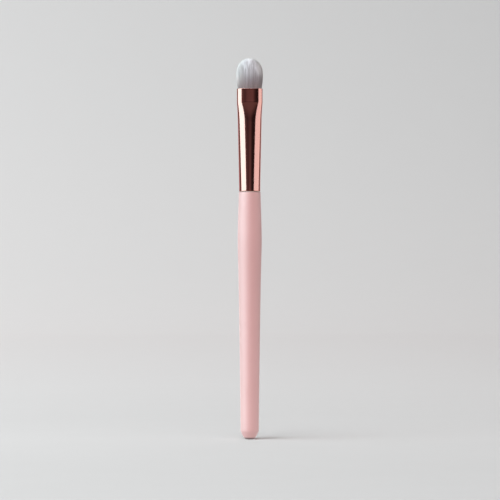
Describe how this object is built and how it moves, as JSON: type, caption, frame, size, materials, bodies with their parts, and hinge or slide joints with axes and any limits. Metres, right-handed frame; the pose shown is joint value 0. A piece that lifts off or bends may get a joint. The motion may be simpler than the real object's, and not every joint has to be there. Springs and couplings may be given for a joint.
{
  "type": "lip brush",
  "caption": "Slim cosmetic brush: a domed filament tuft in a ferrule pressed from round to oval, on a turned, tapered handle with a rounded butt it can stand on.",
  "frame": {"origin": "centre of the small flat on the handle's butt, which the brush stands on", "axes": "+Z along the brush from butt to tuft; X across the broad side of the pressed ferrule and tuft; the flat faces look along -Y and +Y"},
  "size_m": [0.01, 0.0092, 0.1448],
  "materials": {
    "handle_paint": "soft matte pink lacquer on turned wood",
    "ferrule_metal": "polished rose-gold plating",
    "filament": "fine synthetic filament, grey at the ferrule and white at the tips",
    "thread": "undyed cotton thread",
    "resin": "set glue, amber"
  },
  "bodies": {
    "root": {"handle": "handle_paint", "ferrule": "ferrule_metal", "bristle_tuft": "filament", "binding_thread": "thread", "root_glue": "resin", "tenon_glue": "resin"}
  },
  "joints": []
}
